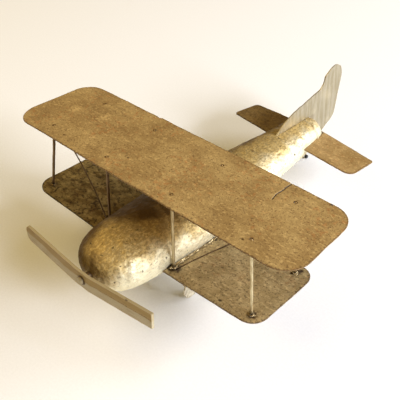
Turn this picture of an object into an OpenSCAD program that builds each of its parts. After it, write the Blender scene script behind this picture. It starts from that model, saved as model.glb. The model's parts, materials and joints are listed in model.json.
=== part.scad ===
// Display biplane hammered and soldered from sheet metal, flat bar and rod.
// Airframe datum: nose tip at y = 0, propeller axis at z = 0, tail toward +Y.
// rest() turns that datum into the standing attitude on the floor, z = 0.

/* [Fuselage] */
// Length from nose tip to tail end
body_len = 383; // [340:1:400]
// Full width of the flanks, run forward to the nose
nose_w = 86; // [76:1:92]
// Full width at the widest section
belly_w = 102.8; // [96:0.2:103]
// Distance from nose tip to the widest section
belly_y = 125; // [110:1:140]
// Full width at the tail end
tail_w = 44.6; // [36:0.2:50]
// Full height, run forward to the nose
nose_h = 64.7; // [56:0.1:68]
// Full height at the tail end
tail_h = 40.1; // [36:0.1:44]
// Height of the body axis over the propeller axis at the nose
nose_rise = 0.65; // [0:0.05:2]
// Further rise of the body axis from nose to tail
tail_rise = 7.9; // [6:0.1:10]
// Length over which the nose is domed
nose_dome = 64.3; // [50:0.1:80]
// Length over which the tail end is rounded
tail_dome = 13.4; // [10:0.1:16]
// Sheet thickness of the shell
shell_t = 1.2; // [0.8:0.1:1.6]

/* [Upper wing] */
// Tip-to-tip span
span = 400; // [390:1:420]
// Chord on the centre line
chord = 111; // [106:1:118]
// Sheet thickness of both wings
wing_t = 1.5; // [1:0.1:2]
// Distance from nose tip to the leading edge
wing_y = 53.7; // [50:0.1:56]
// Height of the top surface over the propeller axis
wing_z = 89; // [84:0.5:96]
// How far each tip is swept back
sweep = 7.6; // [4:0.1:10]
// How far the trailing edge is shorter than the leading edge at each tip
tip_rake = 6; // [2:0.5:10]
// Downward slope of each half
droop = 2.17; // [1:0.01:3]
// Radius of the front tip corners
front_r = 28; // [20:1:34]
// Radius of the rear tip corners
rear_r = 24; // [18:1:30]

/* [Lower wings] */
// Distance from the centre line to each tip
lower_half = 168.7; // [164:0.1:174]
// Chord of the lower wings
lower_chord = 100.6; // [96:0.1:104]
// Distance from nose tip to the leading edge
lower_y = 55.3; // [52:0.1:58]
// How far the right half sits behind the left half
lower_stagger = 3.3; // [0:0.1:5]
// Drop of the top surface under the propeller axis, on the centre line
lower_drop = 7.4; // [5:0.1:9]
// Upward slope of each half
dihedral = 2.55; // [1:0.01:4]
// Radius of the front tip corners
lower_front_r = 19; // [12:1:26]
// Radius of the rear tip corners
lower_rear_r = 17; // [12:1:26]

/* [Struts and wires] */
// Strut rod diameter
rod_d = 3.2; // [2.6:0.1:3.4]
// Bracing wire diameter
wire_d = 1.5; // [1:0.1:2]
// Outer front strut along the span, at the upper wing
outer_top_x = 143.5; // [138:0.5:148]
// Outer front strut along the span, at the lower wing
outer_foot_x = 154; // [150:0.5:156]
// How much farther inboard the outer rear strut stands
outer_rear_in = 4; // [0:0.5:8]
// Inner front strut along the span, at the upper wing
inner_top_x = 47.5; // [46:0.1:50]
// Inner front strut along the span, at the lower wing
inner_foot_x = 50.4; // [50.2:0.1:52]
// How much farther outboard the inner rear strut stands
inner_rear_out = 2.1; // [1.8:0.1:4]
// Front strut row behind the nose tip
front_row_y = 71; // [69:0.5:74]
// Rear strut row behind the nose tip
rear_row_y = 144; // [138:0.5:146]
// Foot of each bracing wire outboard of the inner strut
wire_step = 4.2; // [4:0.1:6]
// Upper end of the right wire along the span
wire_top_right = 138; // [130:0.5:138]
// Upper end of the left wire along the span
wire_top_left = 117; // [110:0.5:130]
// Bow of the right wire
wire_bow_right = 1.2; // [0.5:0.1:4]
// Bow of the left wire
wire_bow_left = 6; // [0.5:0.1:8]

/* [Tail] */
// Thickness of the fin and stabiliser sheets
tail_t = 1.4; // [1:0.1:2]
// Distance from nose tip to the front of the fin
fin_y = 303; // [296:1:310]
// Height of the fin top over the propeller axis
fin_top = 85.6; // [78:0.2:92]
// Half-span of the stabilisers
stab_half = 101; // [96:0.5:106]
// Distance from nose tip to the stabiliser leading edges
stab_y = 328; // [324:0.5:331]
// Height of the stabiliser top faces at the root
stab_z = 12; // [8:0.5:16]
// Downward slope of the stabilisers
stab_droop = 2.3; // [0:0.1:5]
// Chord of the right stabiliser on the centre line
chord_right = 52.3; // [46:0.1:54]
// How much narrower the right stabiliser is at its tip
taper_right = 6.2; // [0:0.1:10]
// Forward turn of the right stabiliser in plan
skew_right = 4; // [0:0.5:6]
// Chord of the left stabiliser on the centre line
chord_left = 54; // [46:0.1:56]
// How much narrower the left stabiliser is at its tip
taper_left = 12.6; // [0:0.1:14]
// Backward turn of the left stabiliser in plan
skew_left = 10; // [0:0.5:11]

/* [Propeller] */
// Length of the right blade from the pin
blade_right = 93; // [86:1:100]
// Length of the left blade from the pin
blade_left = 104; // [96:1:106]
// Width of the bar
prop_w = 20; // [16:0.5:24]
// Thickness of the bar
prop_t = 3; // [2:0.1:4]
// Distance of the bar's front face ahead of the nose tip
prop_ahead = 10.8; // [9:0.1:14]
// Backward bend of the right blade
bend_right = 6.5; // [2:0.1:7]
// Backward bend of the left blade
bend_left = 4.6; // [2:0.1:7]
// Half-length of the flat around the hub
hub_flat = 10; // [8:0.5:16]
// Pin diameter
pin_d = 4; // [3:0.1:5]
// Diameter of the pin's round head
head_d = 8; // [7:0.1:10]
// Running clearance on radius, propeller and wheels
play = 0.06; // [0.03:0.01:0.1]

/* [Undercarriage] */
// Wheel diameter
wheel_d = 24.4; // [20:0.2:28]
// Wheel thickness
wheel_t = 2; // [1.5:0.1:3]
// Distance from centre line to each wheel's outer face
wheel_x = 50; // [48:0.5:54]
// Distance from nose tip to the axle
axle_y = 97.9; // [92:0.1:104]
// Drop of the axle under the propeller axis
axle_drop = 55.5; // [52:0.5:60]
// Height of the tail ball's centre under the propeller axis
ball_drop = 36.8; // [34:0.2:40]
// Distance from nose tip to the tail ball
ball_y = 378.4; // [372:0.2:384]
// Tail ball diameter
ball_d = 5.2; // [4.4:0.1:7]
// Tail skid wire diameter
skid_d = 2.4; // [2:0.1:3]

/* [Hidden] */
$fn = 72;
eps = 0.01;
gap = 0.04;                // clearance of a soldered rod in its hole
rod_r = rod_d / 2;
wire_r = wire_d / 2;
ring_n = 40;               // points on one body section
body_n = 2.1;              // exponent of the oval section
dome_n = 2.8;              // exponent of the nose outline
half = span / 2;
ball_r = ball_d / 2;
wheel_r = wheel_d / 2;
pin_r = pin_d / 2;
cut = 2;                   // overshoot of a cutting shape
arc_n = 12;                // chords in a rounded plate corner
peen = 0.5;                // strut end left proud of the wing's top surface
mid_y = 215.4;             // datum point set over the origin

// Standing attitude: floor tangent to wheels and tail ball
run = ball_y - axle_y;
climb = axle_drop - ball_drop;
reach = norm([run, climb]);
pitch = atan2(climb, run) + asin((wheel_r - ball_r) / reach);
floor_z = -axle_drop * cos(pitch) - axle_y * sin(pitch) - wheel_r;
module rest() {
    translate([0, -mid_y, -floor_z]) rotate([-pitch, 0, 0]) children();
}

function unit(v) = v / norm(v);
function sgn_pow(v, p) = sign(v) * pow(abs(v), p);
function body_axis(s) = nose_rise + tail_rise * s;
function mix(a, b, s) = a + (b - a) * s;
function body_w(y) = y < belly_y ? mix(nose_w, belly_w, y / belly_y)
    : mix(belly_w, tail_w, (y - belly_y) / (body_len - belly_y));

// Heights of the lower wing's and upper wing's top surfaces over a span position
function lower_top(x) = -lower_drop + abs(x) * tan(dihedral);
function upper_top(x) = wing_z - abs(x) * tan(droop);

// ---------------------------------------------------------------- helpers

// Oval body section with half-width a and half-height b
module section(a, b) {
    polygon([for (i = [0 : ring_n - 1])
        let (t = 360 * (i + 0.5) / ring_n)
        [a * sgn_pow(cos(t), 2 / body_n), b * sgn_pow(sin(t), 2 / body_n)]]);
}

// One thin ring of the body at distance y, scaled by k, inset by o
module ring(y, k, o) {
    s = y / body_len;
    a = body_w(y) / 2 - o;
    b = mix(nose_h, tail_h, s) / 2 - o;
    translate([0, y, body_axis(s)]) rotate([90, 0, 0]) linear_extrude(eps, center = true) section(k * a, k * b);
}

// Closed body form, inset by o from the outer surface
module body_form(o) {
    nose_l = nose_dome - o;
    tail_l = tail_dome - o;
    hull() {
        ring(belly_y, 1, o);
        for (t = [3, 10, 19, 28, 37, 46, 55, 64, 73, 82, 90])
            ring(o + nose_l * (1 - pow(cos(t), 2 / dome_n)), pow(sin(t), 2 / dome_n), o);
        for (t = [8, 26, 46, 68, 90])
            ring(body_len - o - tail_l * (1 - cos(t)), sin(t), o);
    }
}

// Rod from a to b, lengthened by e0 and e1 at its ends
module rod(a, b, r, e0, e1) {
    d = b - a;
    len = norm(d);
    translate(a) rotate([0, acos(d[2] / len), atan2(d[1], d[0])])
        translate([0, 0, -e0]) cylinder(h = len + e0 + e1, r = r);
}

// Bowed wire from a to b in a plane of constant y, bow on the outboard-low side
module wire(a, b, bow, r, e) {
    d = b - a;
    len = norm([d[0], d[2]]);
    big = (len * len / 4 + bow * bow) / (2 * bow);
    ang = 2 * asin(len / 2 / big);
    extra = e / big * 180 / PI;
    translate([a[0], a[1], a[2]]) rotate([0, -atan2(d[2], d[0]), 0])
        translate([len / 2, 0, -(big - bow)]) rotate([90, 0, 0])
            rotate([0, 0, 90 - ang / 2 - extra]) rotate_extrude(angle = ang + 2 * extra, $fn = 96)
                translate([big, 0]) circle(r, $fn = 24);
}

// Points of the arc of radius r that rounds the corner p1 between p0 and p2
function arc_pts(p0, p1, p2, r) =
    let (u = unit(p0 - p1), v = unit(p2 - p1), h = acos(u * v) / 2)
    let (c = p1 + unit(u + v) * r / sin(h), s = p1 + u * r / tan(h) - c, e = p1 + v * r / tan(h) - c)
    let (a = atan2(s[1], s[0]), turn = atan2(e[1], e[0]) - a)
    let (b = turn > 180 ? turn - 360 : turn < -180 ? turn + 360 : turn)
    [for (i = [0 : arc_n]) c + r * [cos(a + b * i / arc_n), sin(a + b * i / arc_n)]];

// Cutter that rounds the corner p1 between p0 and p2 to radius r
module corner(p0, p1, p2, r) {
    u = unit(p0 - p1);
    v = unit(p2 - p1);
    b = unit(u + v);
    h = acos(u * v) / 2;
    s = p1 + u * r / tan(h);
    e = p1 + v * r / tan(h);
    c = p1 + b * r / sin(h);
    ns = unit(s - c) * cut;
    ne = unit(e - c) * cut;
    difference() {
        polygon([c, s, s + ns, p1 - b * cut * 2, e + ne, e]);
        translate(c) circle(r);
    }
}

// ---------------------------------------------------------------- fuselage

module shell_shape() {
    difference() {
        body_form(0);
        body_form(shell_t);
        rotate([-90, 0, 0]) cylinder(h = 3 * nose_dome, r = pin_r + gap, center = true, $fn = 48);
        for (s = [-1, 1]) gear_rod(s, gap);
        skid_rod(gap);
    }
}

module fuselage_shell() {
    color([0.78, 0.72, 0.58]) rest() shell_shape();
}

// ---------------------------------------------------------------- wings

// Plan of one upper half, centre line at x = 0
module upper_plan() {
    f = [half, sweep];
    r = [half - tip_rake, chord + sweep * (half - tip_rake) / half];
    m0 = [-eps, 0];
    m1 = [-eps, chord];
    polygon(concat([m0], arc_pts(m0, f, r, front_r), arc_pts(f, r, m1, rear_r), [m1]));
}

module upper_half() {
    translate([0, wing_y, wing_z]) rotate([0, droop, 0])
        translate([0, 0, -wing_t]) linear_extrude(wing_t) upper_plan();
}

module upper_wing() {
    color([0.62, 0.5, 0.31]) rest() difference() {
        union() {
            upper_half();
            mirror([1, 0, 0]) upper_half();
        }
        for (s = [-1, 1]) {
            for (k = [0 : 3]) strut(k, s, gap);
            brace(s, gap);
        }
    }
}

// Plan of the right lower half before its root is cut to the body
module lower_plan() {
    f = [lower_half, 0];
    r = [lower_half - 1.3, lower_chord];
    m0 = [inner_foot_x / 2, 0];
    m1 = [inner_foot_x / 2, lower_chord];
    polygon(concat([m0], arc_pts(m0, f, r, lower_front_r), arc_pts(f, r, m1, lower_rear_r), [m1]));
}

module lower_plate(s) {
    back = s > 0 ? lower_stagger : 0;
    translate([0, lower_y + back, -lower_drop]) mirror([s > 0 ? 0 : 1, 0, 0]) rotate([0, -dihedral, 0])
        translate([0, 0, -wing_t]) linear_extrude(wing_t) lower_plan();
}

module lower_wing(s) {
    color([0.45, 0.36, 0.2]) rest() difference() {
        lower_plate(s);
        body_form(0);
        for (k = [0 : 3]) strut(k, s, gap);
        brace(s, gap);
    }
}

module lower_wing_right() { lower_wing(1); }
module lower_wing_left() { lower_wing(-1); }

seam_r = 3;
seam_front = 64;           // span of the seam along the flank, behind the nose tip
seam_rear = 156;
seam_x = 49.6;
seam_z = lower_top(48);

// Solder seam between a lower wing and the body, thicker at the inner strut feet
module seam(s) {
    color([0.7, 0.66, 0.58]) rest() difference() {
        union() {
            rod([s * seam_x, seam_front, seam_z], [s * seam_x, seam_rear, seam_z], seam_r, 0, 0);
            for (k = [1, 3]) translate(strut_foot(k, s) - [0, 0, 1.2]) sphere(r = 5);
        }
        body_form(0);
        translate([0, lower_y - 20, -lower_drop]) mirror([s > 0 ? 0 : 1, 0, 0]) rotate([0, -dihedral, 0])
            translate([0, 0, -20]) cube([lower_half, lower_chord + 40, 20]);
        for (k = [1, 3]) strut(k, s, gap);
        brace(s, gap);
    }
}

module wing_seam_right() { seam(1); }
module wing_seam_left() { seam(-1); }

// ---------------------------------------------------------------- struts and wires

// Struts: 0 outer front, 1 inner front, 2 outer rear, 3 inner rear, as [foot x, top x, foot y, top y]
STRUTS = [
    [outer_foot_x, outer_top_x, front_row_y, front_row_y + 6],
    [inner_foot_x, inner_top_x, front_row_y - 0.8, front_row_y + 1],
    [outer_foot_x - outer_rear_in, outer_top_x - outer_rear_in, rear_row_y + 2, rear_row_y + 4],
    [inner_foot_x + inner_rear_out, inner_top_x + inner_rear_out, rear_row_y - 2, rear_row_y - 1]];
function strut_foot(k, s) = [s * STRUTS[k][0], STRUTS[k][2], lower_top(STRUTS[k][0])];
function strut_top(k, s) = [s * STRUTS[k][1], STRUTS[k][3], upper_top(STRUTS[k][1])];

module strut(k, s, o) {
    rod(strut_foot(k, s), strut_top(k, s), rod_r + o, wing_t + 2 * o, peen + 10 * o);
}

module strut_piece(k, s) {
    color([0.6, 0.55, 0.46]) rest() strut(k, s, 0);
}

module strut_outer_front_right() { strut_piece(0, 1); }
module strut_outer_front_left() { strut_piece(0, -1); }
module strut_outer_rear_right() { strut_piece(2, 1); }
module strut_outer_rear_left() { strut_piece(2, -1); }
module strut_inner_front_right() { strut_piece(1, 1); }
module strut_inner_front_left() { strut_piece(1, -1); }
module strut_inner_rear_right() { strut_piece(3, 1); }
module strut_inner_rear_left() { strut_piece(3, -1); }

// Wire from the inner strut foot up to the upper wing
module brace(s, o) {
    x0 = inner_foot_x + wire_step;
    x1 = s > 0 ? wire_top_right : wire_top_left;
    mirror([s > 0 ? 0 : 1, 0, 0])
        wire([x0, front_row_y, lower_top(x0)], [x1, front_row_y, upper_top(x1)],
             s > 0 ? wire_bow_right : wire_bow_left, wire_r + o, wing_t / 2 + 10 * o);
}

module brace_wire_right() { color([0.5, 0.45, 0.36]) rest() brace(1, 0); }
module brace_wire_left() { color([0.4, 0.34, 0.25]) rest() brace(-1, 0); }

// Solder domes at the feet of the outer struts
module strut_solder() {
    color([0.66, 0.62, 0.54]) rest() for (s = [-1, 1]) for (k = [0, 2])
        difference() {
            translate(strut_foot(k, s) - [0, 0, 2]) sphere(r = 4.6);
            mirror([s > 0 ? 0 : 1, 0, 0]) translate([0, 0, -lower_drop]) rotate([0, -dihedral, 0])
                translate([0, 0, -20]) cube([span, chord + 2 * wing_y, 20]);
            strut(k, s, gap);
        }
}

// ---------------------------------------------------------------- tail

// Side outline of the fin: low fillet along the spine, then a tall round rudder
module fin_outline() {
    throat_r = 17;
    spine0 = [fin_y - 7, 24.3];
    spine1 = [fin_y + 20.7, 45.6];
    spine2 = [fin_y + 80.5, 58.5];
    throat_c = spine2 + [0, throat_r];
    throat_end = throat_c + [throat_r, 0];
    crown = [444.5, fin_top + 18.7];
    heel = [432.3, 6];
    keel = [404, -9];
    polygon(concat([spine0], arc_pts(spine0, spine1, spine2, 80),
        [for (i = [0 : arc_n]) throat_c + throat_r * [sin(90 * i / arc_n), -cos(90 * i / arc_n)]],
        arc_pts(throat_end, crown, heel, 18.6), arc_pts(crown, heel, keel, 14),
        [keel, [372, -6], [350, 10]]));
}

module fin_plate() {
    rotate([90, 0, 90]) linear_extrude(tail_t, center = true) fin_outline();
}

module tail_fin() {
    color([0.8, 0.76, 0.64]) rest() difference() {
        fin_plate();
        body_form(0);
    }
}

// Plan of one stabiliser before its root is cut to the body
module stab_plan(root, taper, front_corner, rear_corner) {
    m0 = [0, 0];
    f = [stab_half, 0];
    r = [stab_half, root - taper];
    m1 = [0, root];
    polygon(concat([m0], arc_pts(m0, f, r, front_corner), arc_pts(f, r, m1, rear_corner), [m1]));
}

module stabiliser(tone, s) {
    color(tone) rest() difference() {
        mirror([s > 0 ? 0 : 1, 0, 0]) translate([0, 0, stab_z]) rotate([0, stab_droop, 0])
            translate([0, 0, -tail_t]) linear_extrude(tail_t) children();
        body_form(0);
    }
}

module stabiliser_right() {
    stabiliser([0.55, 0.43, 0.24], 1) translate([0, stab_y + 1]) rotate(-skew_right)
        stab_plan(chord_right, taper_right, 12, 3);
}

module stabiliser_left() {
    stabiliser([0.3, 0.22, 0.13], -1) translate([0, stab_y - 5]) rotate(skew_left)
        stab_plan(chord_left, taper_left, 5, 6);
}

// ---------------------------------------------------------------- propeller

bar_back = -prop_ahead + prop_t;
tip_r = 8;

// Corners rounded off the left tip
module tip_corners() {
    len = blade_left - hub_flat;
    w = prop_w / 2;
    mirror([1, 0, 0]) translate([hub_flat, -prop_ahead, 0]) rotate([0, 0, bend_left]) rotate([-90, 0, 0])
        translate([0, 0, -cut]) linear_extrude(prop_t + 2 * cut) {
            corner([0, w], [len, w], [len, -w], tip_r);
            corner([len, w], [len, -w], [0, -w], tip_r);
        }
}

// Bar bent back on each side of the hub flat
module bar() {
    f_r = [hub_flat, -prop_ahead];
    f_l = [-hub_flat, -prop_ahead];
    e_r = f_r + (blade_right - hub_flat) * [cos(bend_right), sin(bend_right)];
    e_l = f_l + (blade_left - hub_flat) * [-cos(bend_left), sin(bend_left)];
    translate([0, 0, -prop_w / 2]) linear_extrude(prop_w) polygon([e_l, f_l, f_r, e_r,
        e_r + prop_t * [-sin(bend_right), cos(bend_right)],
        [hub_flat - prop_t * tan(bend_right / 2), bar_back],
        [-hub_flat + prop_t * tan(bend_left / 2), bar_back],
        e_l + prop_t * [sin(bend_left), cos(bend_left)]]);
}

module propeller_blade() {
    color([0.66, 0.57, 0.38]) rest() difference() {
        bar();
        tip_corners();
        rotate([90, 0, 0]) cylinder(h = 2 * nose_dome, r = pin_r + play, center = true, $fn = 48);
    }
}

washer_t = 0.8;
head_t = 2.2;

// Fixed pin with a round head in front, soldered into the nose
module propeller_pin() {
    color([0.4, 0.36, 0.3]) rest() {
        y0 = -prop_ahead - washer_t - 2 * play;
        translate([0, y0, 0]) rotate([-90, 0, 0]) cylinder(h = 14 - y0, r = pin_r, $fn = 48);
        intersection() {
            translate([0, y0 - head_t, 0]) rotate([-90, 0, 0]) cylinder(h = head_t, r = head_d / 2);
            translate([0, y0 - head_t + 6, 0]) sphere(r = 6);
        }
    }
}

module disc_y(y, t, r, hole) {
    translate([0, y, 0]) rotate([-90, 0, 0]) difference() {
        cylinder(h = t, r = r);
        translate([0, 0, -cut]) cylinder(h = t + 2 * cut, r = hole, $fn = 48);
    }
}

module hub_washer() {
    color([0.5, 0.45, 0.36]) rest() disc_y(-prop_ahead - washer_t - play, washer_t, 5, pin_r + gap);
}

// Tube that holds the bar off the nose
module spacer_tube() {
    color([0.45, 0.4, 0.33]) rest() difference() {
        disc_y(bar_back + play, -bar_back + 3, 4, pin_r + gap);
        body_form(0);
    }
}

// ---------------------------------------------------------------- undercarriage

module gear_rod(s, o) {
    rod([s * 24, axle_y - 10, -17], [s * 42, axle_y, -axle_drop + 2 * rod_r + gap], rod_r + o, 0, 0);
}

module gear_leg_right() { color([0.55, 0.5, 0.42]) rest() gear_rod(1, 0); }
module gear_leg_left() { color([0.55, 0.5, 0.42]) rest() gear_rod(-1, 0); }

collar_t = 1.2;

// Axle with peened ends
module gear_axle() {
    end = wheel_x + 2 * play;
    color([0.5, 0.46, 0.4]) rest() translate([0, axle_y, -axle_drop]) rotate([0, 90, 0]) {
        cylinder(h = 2 * end, r = rod_r, center = true);
        for (s = [0, 1]) mirror([0, 0, s]) translate([0, 0, end]) intersection() {
            cylinder(h = 1.2, r = 2.6);
            translate([0, 0, -2]) sphere(r = 3.2);
        }
    }
}

// Solder lumps that hold the legs on the axle
module gear_solder() {
    color([0.66, 0.62, 0.54]) rest() for (s = [-1, 1]) difference() {
        translate([s * 41, axle_y, -axle_drop + rod_r]) sphere(r = 4);
        gear_rod(s, gap);
        translate([0, axle_y, -axle_drop]) rotate([0, 90, 0]) cylinder(h = 110, r = rod_r + gap, center = true);
    }
}

// Collars that keep the wheels out
module axle_collars() {
    color([0.5, 0.46, 0.4]) rest() for (s = [-1, 1])
        translate([s * (wheel_x - wheel_t - 2 * play - collar_t / 2), axle_y, -axle_drop]) rotate([0, 90, 0])
            difference() {
                cylinder(h = collar_t, r = 3, center = true);
                cylinder(h = 2 * cut, r = rod_r + gap, center = true);
            }
}

module wheel(s) {
    color([0.85, 0.82, 0.72]) rest() translate([s * (wheel_x - wheel_t / 2), axle_y, -axle_drop])
        rotate([0, 90, 0]) difference() {
            cylinder(h = wheel_t, r = wheel_r, center = true, $fn = 96);
            cylinder(h = wheel_t + cut, r = rod_r + play, center = true);
        }
}

module wheel_right() { wheel(1); }
module wheel_left() { wheel(-1); }

// ---------------------------------------------------------------- tail skid

skid_top = [0, ball_y - 22, -5];
ball_c = [0, ball_y, -ball_drop];

module skid_rod(o) {
    rod(skid_top, ball_c, skid_d / 2 + o, 0, 0);
}

module tail_skid() { color([0.35, 0.3, 0.25]) rest() skid_rod(0); }

module skid_tip() {
    color([0.06, 0.06, 0.06]) rest() difference() {
        translate(ball_c) sphere(r = ball_r);
        rod(skid_top, ball_c, skid_d / 2 + gap, 0, gap);
    }
}

// ---------------------------------------------------------------- output

fuselage_shell();
upper_wing();
lower_wing_right();
lower_wing_left();
wing_seam_right();
wing_seam_left();
strut_outer_front_right();
strut_outer_front_left();
strut_outer_rear_right();
strut_outer_rear_left();
strut_inner_front_right();
strut_inner_front_left();
strut_inner_rear_right();
strut_inner_rear_left();
brace_wire_right();
brace_wire_left();
strut_solder();
tail_fin();
stabiliser_right();
stabiliser_left();
propeller_blade();
propeller_pin();
hub_washer();
spacer_tube();
gear_leg_right();
gear_leg_left();
gear_axle();
gear_solder();
axle_collars();
wheel_right();
wheel_left();
tail_skid();
skid_tip();
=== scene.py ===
"""Looks of a soldered sheet-metal display biplane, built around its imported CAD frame.

Work is in millimetres in the airframe datum: nose tip at y = 0, propeller axis at z = 0,
tail toward +y, right wing toward +x. to_row() turns that into the frame's metres.
"""

import bmesh
import bpy
import json
import math
import numpy as np
import random
from mathutils import Matrix, Vector, noise
from mathutils.bvhtree import BVHTree
from mathutils.geometry import delaunay_2d_cdt
from mathutils.kdtree import KDTree

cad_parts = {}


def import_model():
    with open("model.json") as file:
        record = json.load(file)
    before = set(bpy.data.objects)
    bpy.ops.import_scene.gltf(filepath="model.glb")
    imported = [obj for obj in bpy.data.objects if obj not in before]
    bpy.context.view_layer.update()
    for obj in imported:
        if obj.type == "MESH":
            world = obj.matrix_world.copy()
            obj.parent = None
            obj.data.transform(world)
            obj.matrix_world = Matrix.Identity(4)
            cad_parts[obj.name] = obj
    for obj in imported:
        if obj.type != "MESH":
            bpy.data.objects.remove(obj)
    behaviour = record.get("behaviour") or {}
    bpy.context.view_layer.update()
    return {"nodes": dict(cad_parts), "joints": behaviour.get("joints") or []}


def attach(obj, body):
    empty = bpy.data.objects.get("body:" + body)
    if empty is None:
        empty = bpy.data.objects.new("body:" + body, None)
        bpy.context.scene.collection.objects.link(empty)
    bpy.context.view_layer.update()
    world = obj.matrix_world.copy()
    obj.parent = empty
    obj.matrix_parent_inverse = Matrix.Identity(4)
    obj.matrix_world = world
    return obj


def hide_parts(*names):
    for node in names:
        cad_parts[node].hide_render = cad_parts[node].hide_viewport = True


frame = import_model()

MM = 0.001
HUB_AHEAD = 9.3  # mm from the nose tip forward to the middle of the propeller bar
WELD = 1e-3  # mm, joins the corners that CAD triangles share
SEAM_WELD = 0.03  # mm, joins the two halves of a mirrored plate
SLIVER = 2.0  # mm2, a rim smaller than this is no hole
FAR = 500.0  # mm, where rays toward the object start
ROW_GAP = 0.87  # spacing of a sheet's point rows, in steps
RIM_GAP = 0.55  # clearance between a sheet's inner points and its rims, in steps

# ------------------------------------------------------------------ airframe datum

spin = next(j for j in frame["joints"] if j["name"] == "propeller_spin")
TAILWARD = Vector(spin["axis"]).normalized()
SIDE = Vector((1, 0, 0))
UPWARD = SIDE.cross(TAILWARD)
NOSE = Vector(spin["pos_m"]) + TAILWARD * HUB_AHEAD * MM
TURN = Matrix((SIDE, TAILWARD, UPWARD)).transposed()
DATUM = Matrix.Translation(NOSE) @ TURN.to_4x4() @ Matrix.Scale(MM, 4)
FROM_ROW = DATUM.inverted()
X, Y, Z = Vector((1, 0, 0)), Vector((0, 1, 0)), Vector((0, 0, 1))


def to_row(points):
    m = np.array(DATUM)
    return np.asarray(points, float) @ m[:3, :3].T + m[:3, 3]


def cad_mesh(node):
    """A CAD node as a welded triangle bmesh in the datum."""
    bm = bmesh.new()
    bm.from_mesh(frame["nodes"][node].data)
    bmesh.ops.transform(bm, matrix=FROM_ROW, verts=bm.verts)
    bmesh.ops.remove_doubles(bm, verts=bm.verts, dist=WELD)
    bmesh.ops.triangulate(bm, faces=bm.faces)
    bmesh.ops.recalc_face_normals(bm, faces=bm.faces)
    bm.normal_update()
    return bm


def cad_corners(node):
    """Lowest and highest corner of a CAD node in the datum."""
    bm = cad_mesh(node)
    co = np.array([v.co for v in bm.verts])
    bm.free()
    return co.min(0), co.max(0)


# ------------------------------------------------------------------ noise, distance, places

RIPPLE_OFFSET = Vector((17.3, 5.1, 9.7))  # moves the noise field from seed to seed
CELL_OFFSET = Vector((3.7, 11.9, 6.1))


def ripple(points, size, seed):
    """Smooth noise in -1..1 with features of about size mm."""
    off = RIPPLE_OFFSET * seed
    return np.array([noise.noise(Vector(p) / size + off) for p in points])


def cells(points, size, seed):
    """Distance to the nearest cell centre, in cells: 0 in the middle of a hammer mark."""
    off = CELL_OFFSET * seed
    return np.array([noise.voronoi(Vector(p) / size + off)[0][0] for p in points])


def segment_distance(points, a, b):
    a, b = np.asarray(a, float), np.asarray(b, float)
    d = b - a
    t = np.clip((points - a) @ d / (d @ d), 0, 1)
    return np.linalg.norm(points - a - t[:, None] * d, axis=1)


def path_distance(points, path):
    return np.min([segment_distance(points, a, b) for a, b in zip(path, path[1:])], axis=0)


def nearest(points, marks):
    return np.min([np.linalg.norm(points - m, axis=1) for m in marks], axis=0)


def scatter(points, count, seed):
    """A few of the points, by seeded draw."""
    draw = random.Random(seed)
    return points[[int(draw.random() * len(points)) for _ in range(count)]]


def between(lo, hi, t):
    """The place a fraction t of the way from lo to hi."""
    return lo + (hi - lo) * t


def fade(x, near, far):
    """1 below near, 0 beyond far, smooth between."""
    t = np.clip((far - x) / (far - near), 0, 1)
    return t * t * (3 - 2 * t)


# ------------------------------------------------------------------ making pieces

def piece(name, points, faces, material, body, node, attributes):
    """A smooth mesh piece that replaces a CAD node, with named floats for its material."""
    me = bpy.data.meshes.new(name)
    me.from_pydata([tuple(p) for p in to_row(points)], [], faces)
    me.validate()
    me.polygons.foreach_set("use_smooth", [True] * len(me.polygons))
    for key, values in attributes.items():
        made = me.attributes.new(key, "FLOAT", "POINT")
        made.data.foreach_set("value", np.asarray(values, np.float32))
    me.materials.append(material)
    ob = bpy.data.objects.new(name, me)
    bpy.context.scene.collection.objects.link(ob)
    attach(ob, body)
    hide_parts(node)
    return ob


def soften(ob, width, angle=50):
    """Worn edges, width in mm, on every edge sharper than the angle."""
    bevel = ob.modifiers.new("worn", "BEVEL")
    bevel.width = width * MM
    bevel.segments = 2
    bevel.limit_method = "ANGLE"
    bevel.angle_limit = math.radians(angle)
    bevel.harden_normals = True


def rims(bm, up):
    """Boundary loops of the side of a plate that faces up, largest first, slivers dropped."""
    side = {f.index for f in bm.faces if f.normal.dot(up) > 0.9}
    after = {}
    for f in bm.faces:
        if f.index in side:
            for loop in f.loops:
                if sum(g.index in side for g in loop.edge.link_faces) == 1:
                    after[loop.vert] = loop.link_loop_next.vert
    loops = []
    while after:
        start = min(after, key=lambda v: v.index)
        ring, v = [start], after.pop(start)
        while v is not start and v in after:
            ring.append(v)
            v = after.pop(v)
        loops.append(np.array([w.co for w in ring]))
    area = lambda r: abs(np.cross(r - r[0], np.roll(r, -1, 0) - r[0]).sum(0) @ np.array(up)) / 2
    return sorted([r for r in loops if area(r) > SLIVER], key=area, reverse=True)


def dense(ring, step):
    """The ring with its long edges divided."""
    out = []
    for a, b in zip(ring, np.roll(ring, -1, 0)):
        n = max(1, int(np.linalg.norm(b - a) / step + 0.5))
        out += [a + (b - a) * k / n for k in range(n)]
    return np.array(out)


def inside(points, ring):
    """Which 2D points lie inside a ring."""
    x, y = points[:, 0:1], points[:, 1:2]
    a, b = ring, np.roll(ring, -1, 0)
    cross = (a[:, 1] > y) != (b[:, 1] > y)
    with np.errstate(divide="ignore", invalid="ignore"):
        at = a[:, 0] + (y - a[:, 1]) / (b[:, 1] - a[:, 1]) * (b[:, 0] - a[:, 0])
    return (cross & (x < at)).sum(1) % 2 == 1


def on_sheet(points, rings):
    """Which 2D points lie inside the first ring and outside the others."""
    ok = inside(points, rings[0])
    for hole in rings[1:]:
        ok &= ~inside(points, hole)
    return ok


def search_tree(points):
    """Nearest-point search over 2D points."""
    tree = KDTree(len(points))
    for i, p in enumerate(points):
        tree.insert((p[0], p[1], 0), i)
    tree.balance()
    return tree


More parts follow.
